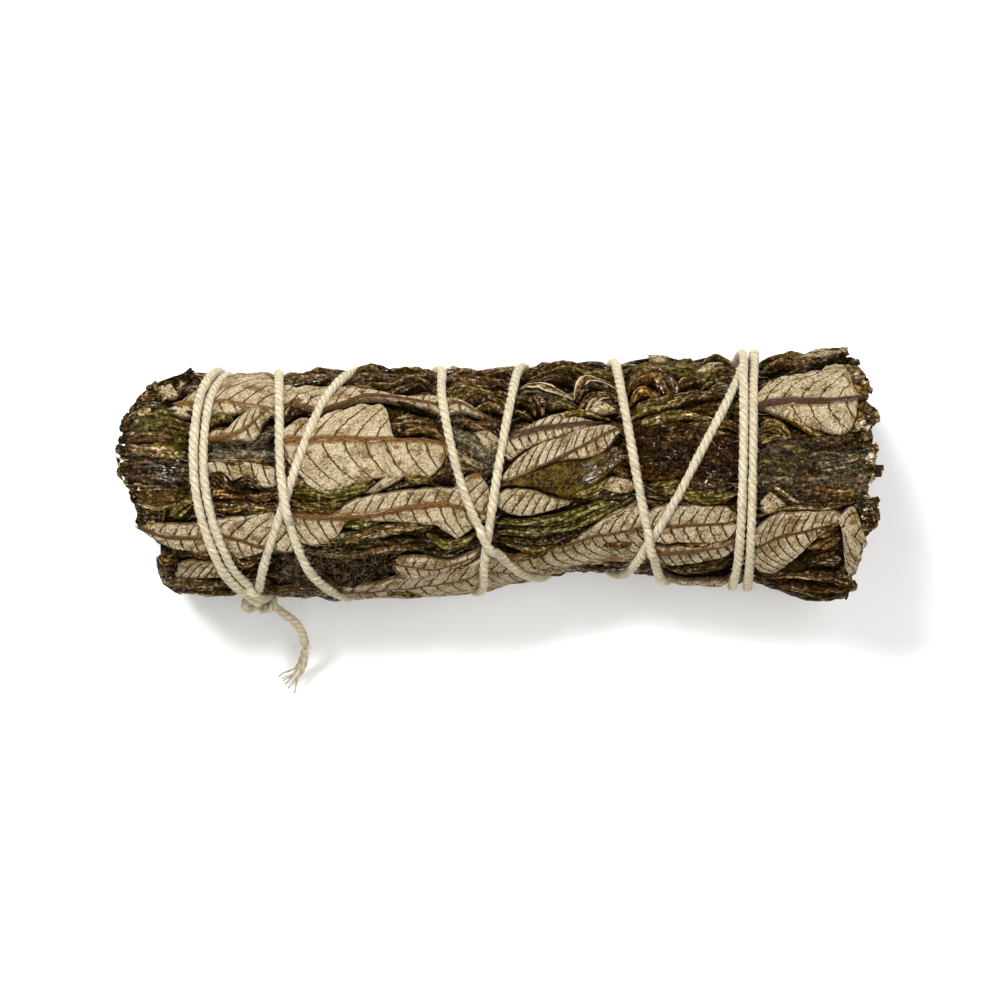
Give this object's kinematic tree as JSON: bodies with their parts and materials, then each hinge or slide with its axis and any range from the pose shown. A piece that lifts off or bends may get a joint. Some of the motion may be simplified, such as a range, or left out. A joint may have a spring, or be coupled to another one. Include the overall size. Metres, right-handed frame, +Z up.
{
  "type": "dried sage bunch",
  "caption": "Cylindrical bunch of dried sage leaves and stems, bound with criss-crossed cotton twine and knotted, lying on its side.",
  "frame": {"origin": "on the flat spot that the bunch rests on, under the middle of its length", "axes": "+X along the bunch, towards the end away from the knot; +Y away from the knot's side; +Z up"},
  "size_m": [0.1018, 0.0458, 0.0321],
  "materials": {
    "cotton_twine": "matte undyed cotton, twisted, faintly hairy",
    "dark_leaf": "dried leaf, upper side, wrinkled, with glossy resin on the ridges",
    "pale_leaf": "dried leaf, woolly underside, matte, with a brown midrib and net veins",
    "stem_wood": "thin brown bark, matte"
  },
  "bodies": {
    "root": {"binding_twine": "cotton_twine", "folded_dark_leaves": "dark_leaf", "pale_leaf_top_left": "pale_leaf", "pale_leaf_curled": "pale_leaf", "pale_leaf_upper_strip": "pale_leaf", "pale_leaf_broad": "pale_leaf", "pale_leaf_left_middle": "pale_leaf", "pale_leaf_left_low": "pale_leaf", "pale_leaf_left_edge": "pale_leaf", "pale_leaf_long": "pale_leaf", "pale_leaf_low_strip": "pale_leaf", "pale_leaf_low_edge": "pale_leaf", "pale_leaf_pair_upper": "pale_leaf", "pale_leaf_pair_lower": "pale_leaf", "pale_leaf_under_olive": "pale_leaf", "pale_leaf_low_middle": "pale_leaf", "pale_leaf_right_strip": "pale_leaf", "pale_leaf_right_low": "pale_leaf", "pale_leaf_top_right": "pale_leaf", "pale_leaf_right_end": "pale_leaf", "pale_leaf_below_112_1": "pale_leaf", "pale_leaf_below_112_2": "pale_leaf", "pale_leaf_below_146_1": "pale_leaf", "pale_leaf_below_146_2": "pale_leaf", "pale_leaf_below_180_1": "pale_leaf", "pale_leaf_below_180_2": "pale_leaf", "pale_leaf_below_180_3": "pale_leaf", "pale_leaf_below_180_4": "pale_leaf", "pale_leaf_below_214_1": "pale_leaf", "pale_leaf_below_214_2": "pale_leaf", "pale_leaf_below_248_1": "pale_leaf", "pale_leaf_below_248_2": "pale_leaf", "woody_stem_1": "stem_wood", "woody_stem_2": "stem_wood", "woody_stem_3": "stem_wood", "woody_stem_4": "stem_wood", "woody_stem_5": "stem_wood"}
  },
  "joints": []
}
